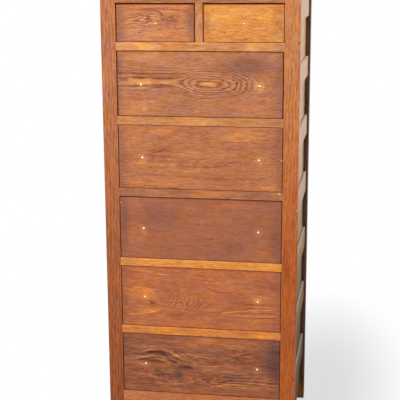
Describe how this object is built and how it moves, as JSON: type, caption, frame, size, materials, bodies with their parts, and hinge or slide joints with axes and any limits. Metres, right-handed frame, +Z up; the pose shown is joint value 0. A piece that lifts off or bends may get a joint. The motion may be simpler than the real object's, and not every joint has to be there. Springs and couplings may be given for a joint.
{
  "type": "lingerie chest",
  "caption": "Tall narrow oak lingerie chest on square posts, with ladder-like panelled sides and dovetailed drawers, the top row split in two.",
  "frame": {"origin": "on the floor under the middle of the chest", "axes": "+Z up, drawers open towards -Y, +X to the right of someone facing the drawers"},
  "size_m": [0.584, 0.55, 1.4035],
  "materials": {
    "oak_post": "aged oak, glossy varnish",
    "oak_rail": "aged oak, glossy varnish",
    "oak_side": "aged oak, glossy varnish",
    "oak_top": "aged oak, glossy varnish",
    "secondary_wood": "plain wood, matt",
    "drawer_wood": "plain wood, matt",
    "drawer_1_left_front_oak": "aged oak, glossy varnish",
    "drawer_1_right_front_oak": "golden oak, glossy varnish",
    "drawer_2_front_oak": "aged oak, glossy varnish",
    "drawer_3_front_oak": "aged oak, glossy varnish",
    "drawer_4_front_oak": "aged oak, glossy varnish",
    "drawer_5_front_oak": "aged oak, glossy varnish",
    "drawer_6_front_oak": "dark aged oak, glossy varnish",
    "brass": "rubbed bright"
  },
  "bodies": {
    "case": {"post_front_left": "oak_post", "post_front_right": "oak_post", "post_rear_left": "oak_post", "post_rear_right": "oak_post", "top": "oak_top", "top_rail": "oak_rail", "divider_1": "oak_rail", "divider_2": "oak_rail", "divider_3": "oak_rail", "divider_4": "oak_rail", "divider_5": "oak_rail", "bottom_rail": "oak_rail", "muntin": "oak_rail", "side_left": "oak_side", "side_right": "oak_side", "back_panel": "secondary_wood", "sub_top": "secondary_wood", "dustboard_1": "secondary_wood", "dustboard_2": "secondary_wood", "dustboard_3": "secondary_wood", "dustboard_4": "secondary_wood", "dustboard_5": "secondary_wood", "bottom_board": "secondary_wood", "center_guide": "secondary_wood"},
    "drawer_1_left": {"drawer_1_left_front": "drawer_1_left_front_oak", "drawer_1_left_side_left": "drawer_wood", "drawer_1_left_side_right": "drawer_wood", "drawer_1_left_back": "drawer_wood", "drawer_1_left_bottom": "drawer_wood"},
    "drawer_1_right": {"drawer_1_right_front": "drawer_1_right_front_oak", "drawer_1_right_side_left": "drawer_wood", "drawer_1_right_side_right": "drawer_wood", "drawer_1_right_back": "drawer_wood", "drawer_1_right_bottom": "drawer_wood"},
    "drawer_2": {"drawer_2_front": "drawer_2_front_oak", "drawer_2_side_left": "drawer_wood", "drawer_2_side_right": "drawer_wood", "drawer_2_back": "drawer_wood", "drawer_2_bottom": "drawer_wood"},
    "drawer_3": {"drawer_3_front": "drawer_3_front_oak", "drawer_3_side_left": "drawer_wood", "drawer_3_side_right": "drawer_wood", "drawer_3_back": "drawer_wood", "drawer_3_bottom": "drawer_wood"},
    "drawer_4": {"drawer_4_front": "drawer_4_front_oak", "drawer_4_side_left": "drawer_wood", "drawer_4_side_right": "drawer_wood", "drawer_4_back": "drawer_wood", "drawer_4_bottom": "drawer_wood"},
    "drawer_5": {"drawer_5_front": "drawer_5_front_oak", "drawer_5_side_left": "drawer_wood", "drawer_5_side_right": "drawer_wood", "drawer_5_back": "drawer_wood", "drawer_5_bottom": "drawer_wood"},
    "drawer_6": {"drawer_6_front": "drawer_6_front_oak", "drawer_6_side_left": "drawer_wood", "drawer_6_side_right": "drawer_wood", "drawer_6_back": "drawer_wood", "drawer_6_bottom": "drawer_wood"}
  },
  "joints": [
    {"name": "drawer_1_left_slide", "type": "slide", "parent": "case", "child": "drawer_1_left", "axis": [0, -1, 0], "range_m": [0, 0.4]},
    {"name": "drawer_1_right_slide", "type": "slide", "parent": "case", "child": "drawer_1_right", "axis": [0, -1, 0], "range_m": [0, 0.4]},
    {"name": "drawer_2_slide", "type": "slide", "parent": "case", "child": "drawer_2", "axis": [0, -1, 0], "range_m": [0, 0.4]},
    {"name": "drawer_3_slide", "type": "slide", "parent": "case", "child": "drawer_3", "axis": [0, -1, 0], "range_m": [0, 0.4]},
    {"name": "drawer_4_slide", "type": "slide", "parent": "case", "child": "drawer_4", "axis": [0, -1, 0], "range_m": [0, 0.4]},
    {"name": "drawer_5_slide", "type": "slide", "parent": "case", "child": "drawer_5", "axis": [0, -1, 0], "range_m": [0, 0.4]},
    {"name": "drawer_6_slide", "type": "slide", "parent": "case", "child": "drawer_6", "axis": [0, -1, 0], "range_m": [0, 0.4]}
  ]
}
